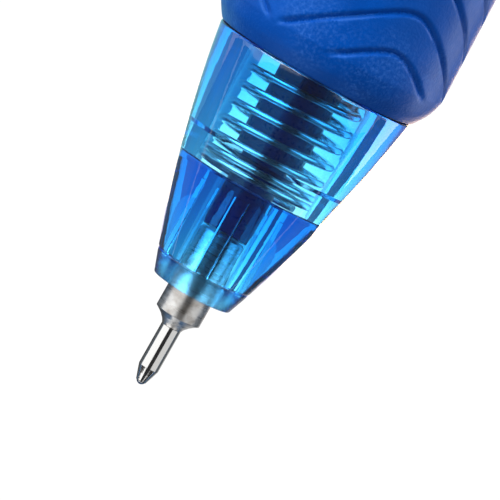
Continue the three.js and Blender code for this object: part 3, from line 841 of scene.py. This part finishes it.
def clip_strip(name, line, width, thickness, corner):
    """A strip with rounded edges along an (x, r) line on the clip's side of the pen."""
    outward = Vector((0, -math.sin(CLIP_TURN), math.cos(CLIP_TURN)))
    sideways = Vector((1, 0, 0)).cross(outward)
    section = rounded([
        (-width / 2, -thickness / 2, corner), (width / 2, -thickness / 2, corner),
        (width / 2, thickness / 2, corner), (-width / 2, thickness / 2, corner),
    ], steps=4)
    points = [Vector(at(x)) + outward * r * MM for x, r in line]
    steps = []
    for i, point in enumerate(points):
        along = (points[min(i + 1, len(points) - 1)] - points[max(i - 1, 0)]).normalized()
        steps.append((point, sideways, along.cross(sideways)))
    return swept(name, steps, section)


def clip():
    return clip_strip("clip_strip", spline(CLIP_LINE, 14), CLIP_WIDTH, CLIP_THICKNESS, 0.16)


stands_for(trim_ring(), "barrel", "trim_ring", "chrome")
stands_for(rear_collar(), "barrel", "rear_collar", "blue_plastic")
stands_for(clip(), "clip", "clip", "chrome")


# ---- floor, lights and camera ------------------------------------------------------------------


def emission(name, color, strength):
    made = bpy.data.materials.new(name)
    made.use_nodes = True
    made.node_tree.nodes.clear()
    glow = made.node_tree.nodes.new("ShaderNodeEmission")
    glow.inputs["Color"].default_value = (*color, 1)
    glow.inputs["Strength"].default_value = strength
    output = made.node_tree.nodes.new("ShaderNodeOutputMaterial")
    made.node_tree.links.new(glow.outputs["Emission"], output.inputs["Surface"])
    return made


def panel(name, centre, towards, width, height, material, seen_directly):
    """A flat panel that faces a point. Its width runs along the pen."""
    facing = (Vector(towards) - Vector(centre)).normalized()
    across = facing.cross(Vector((1, 0, 0))).normalized()
    along = across.cross(facing)
    corners = [
        Vector(centre) + along * (i * width / 2) + across * (j * height / 2)
        for i, j in ((-1, -1), (1, -1), (1, 1), (-1, 1))
    ]
    mesh = bpy.data.meshes.new(name)
    mesh.from_pydata([list(c) for c in corners], [], [(0, 1, 2, 3)])
    mesh.materials.append(material)
    made = bpy.data.objects.new(name, mesh)
    made.visible_camera = seen_directly
    bpy.context.scene.collection.objects.link(made)


def area_light(name, centre, towards, width, height, power):
    lamp = bpy.data.lights.new(name, "AREA")
    lamp.shape = "RECTANGLE"
    lamp.size, lamp.size_y = width, height
    lamp.energy = power
    made = bpy.data.objects.new(name, lamp)
    made.location = centre
    made.rotation_mode = "QUATERNION"
    made.rotation_quaternion = (Vector(towards) - Vector(centre)).to_track_quat("-Z", "Y")
    made.visible_camera = False
    bpy.context.scene.collection.objects.link(made)


def world(grey, seen):
    """A grey room that looks white where the camera sees it past the floor."""
    made = bpy.data.worlds.new("room")
    made.use_nodes = True
    tree = made.node_tree
    room = tree.nodes["Background"]
    room.inputs["Color"].default_value = (grey, grey, grey * 1.03, 1)
    pale = tree.nodes.new("ShaderNodeBackground")
    pale.inputs["Color"].default_value = (seen, seen, seen, 1)
    rays = tree.nodes.new("ShaderNodeLightPath")
    either = tree.nodes.new("ShaderNodeMixShader")
    tree.links.new(rays.outputs["Is Camera Ray"], either.inputs["Fac"])
    tree.links.new(room.outputs["Background"], either.inputs[1])
    tree.links.new(pale.outputs["Background"], either.inputs[2])
    tree.links.new(either.outputs["Shader"], tree.nodes["World Output"].inputs["Surface"])
    bpy.context.scene.world = made


def camera():
    """Looks down on the nose; the pen's tip points down to the left and a little away."""
    on_page = math.radians(60.4)
    tilt = math.radians(6.5)
    lens, sensor, field = 500.0, 36.0, 0.0236
    aim_right, aim_up = 2.759 * MM, 1.958 * MM
    along = Vector((math.cos(tilt), 0, -math.sin(tilt)))
    right = along * math.cos(on_page) - Vector((0, 1, 0)) * math.sin(on_page)
    up = along * math.sin(on_page) + Vector((0, 1, 0)) * math.cos(on_page)
    back = right.cross(up)
    aim = NOSE_FRONT + right * aim_right + up * aim_up
    lens_data = bpy.data.cameras.new("camera")
    lens_data.lens = lens
    lens_data.sensor_width = sensor
    lens_data.clip_start, lens_data.clip_end = 0.01, 10
    made = bpy.data.objects.new("camera", lens_data)
    place = Matrix((right, up, back)).transposed().to_4x4()
    place.translation = aim + back * (field * lens / sensor)
    made.matrix_world = place
    bpy.context.scene.collection.objects.link(made)
    bpy.context.scene.camera = made


def floor_patch(name, span, sides, height, color, strength):
    """A patch of floor of another brightness beside the pen, that only the pen sees.

    span holds its two ends along the pen, and sides its two sides towards -Y of the axis, all
    in millimetres. It shows in the pen's reflections and through its clear plastic.
    """
    start, end = span
    near, far = sides
    centre = Vector(at((start + end) / 2)) - Vector((0, (near + far) / 2 * MM, 0))
    centre.z = height * MM
    panel(name, centre, centre + Vector((0, 0, 1)), (end - start) * MM, (far - near) * MM,
          emission(name, color, strength), False)


CONE_MIDDLE = Vector(at(5))
WHITE = (1, 1, 1)

# Floor patches: name, span along the pen, sides, height, colour and strength
FLOOR_PATCHES = [
    ("dark_front", (-150, 4), (-150, 150), 0.1, (0.08, 0.35, 0.8), 0.35),
    ("tip_left", (-9, 0.3), (-6, 0.35), 0.2, WHITE, 0.03),
    ("tip_right", (-9, 0.3), (0.35, 6), 0.2, WHITE, 0.6),
    ("tip_beyond_left", (-18, -1.5), (-70, -6), 0.2, (0.8, 0.9, 1), 0.14),
    ("tip_beyond_right", (-18, -1.5), (6, 70), 0.2, (0.8, 0.9, 1), 0.14),
    ("under_lip", (0.3, 2), (-5, 5), 0.3, (0.8, 0.74, 1), 1.3),
    ("under_neck", (2, 5.4), (-5, 5), 0.3, (1, 0.85, 0.7), 2.4),
    ("floor_left", (4, 190), (-22, -5), 0.2, (0.3, 0.86, 1), 0.78),
    ("bright_left", (4, 190), (-5, -2.2), 0.2, (1, 0.74, 0.54), 4.8),
    # under is a painted shadow of the pen: a dimmer strip of floor glow right under it, between
    # the brighter strips beside it, seen only through the plastic and in reflections
    ("under", (4, 190), (-2.2, 2.2), 0.2, WHITE, 1.25),
    ("bright_right", (4, 190), (2.2, 7.7), 0.2, (1, 0.7, 0.5), 4.9),
    ("floor_right", (4, 190), (7.7, 14.5), 0.2, (0.7, 0.8, 1), 0.5),
    ("bright_far", (4, 190), (14.5, 45), 0.2, WHITE, 3.0),
]

# Cards and softboxes: name, place from the cone's middle, width, height and strength or power
CARDS = [
    ("fill_left", (-0.025, 0.18, 0.15), 0.11, 0.38, 1.3),
    ("fill_right", (-0.025, -0.2, 0.115), 0.11, 0.28, 0.8),
    ("front_left", (-0.2165, 0.0884, 0.0884), 0.15, 0.18, 1.5),
    ("front_right", (-0.2165, -0.1, 0.07), 0.15, 0.12, 0.8),
]
SOFTBOXES = [
    ("softbox_left", (0.16, 0.16, 0.16), 0.24, 0.26, 1.6),
    ("softbox_right", (0.16, -0.2, 0.12), 0.24, 0.18, 0.5),
]

panel("floor", (0, 0, 0), (0, 0, 1), 6, 6, emission("floor_white", WHITE, 1.05), True)
for name, span, sides, height, color, strength in FLOOR_PATCHES:
    floor_patch(name, span, sides, height, color, strength)
for name, offset, width, height, strength in CARDS:
    panel(name, CONE_MIDDLE + Vector(offset), CONE_MIDDLE, width, height,
          emission(name, WHITE, strength), False)
for name, offset, width, height, power in SOFTBOXES:
    area_light(name, CONE_MIDDLE + Vector(offset), CONE_MIDDLE, width, height, power)
world(0.03, 1.0)
camera()
bpy.context.scene.view_settings.view_transform = "Standard"
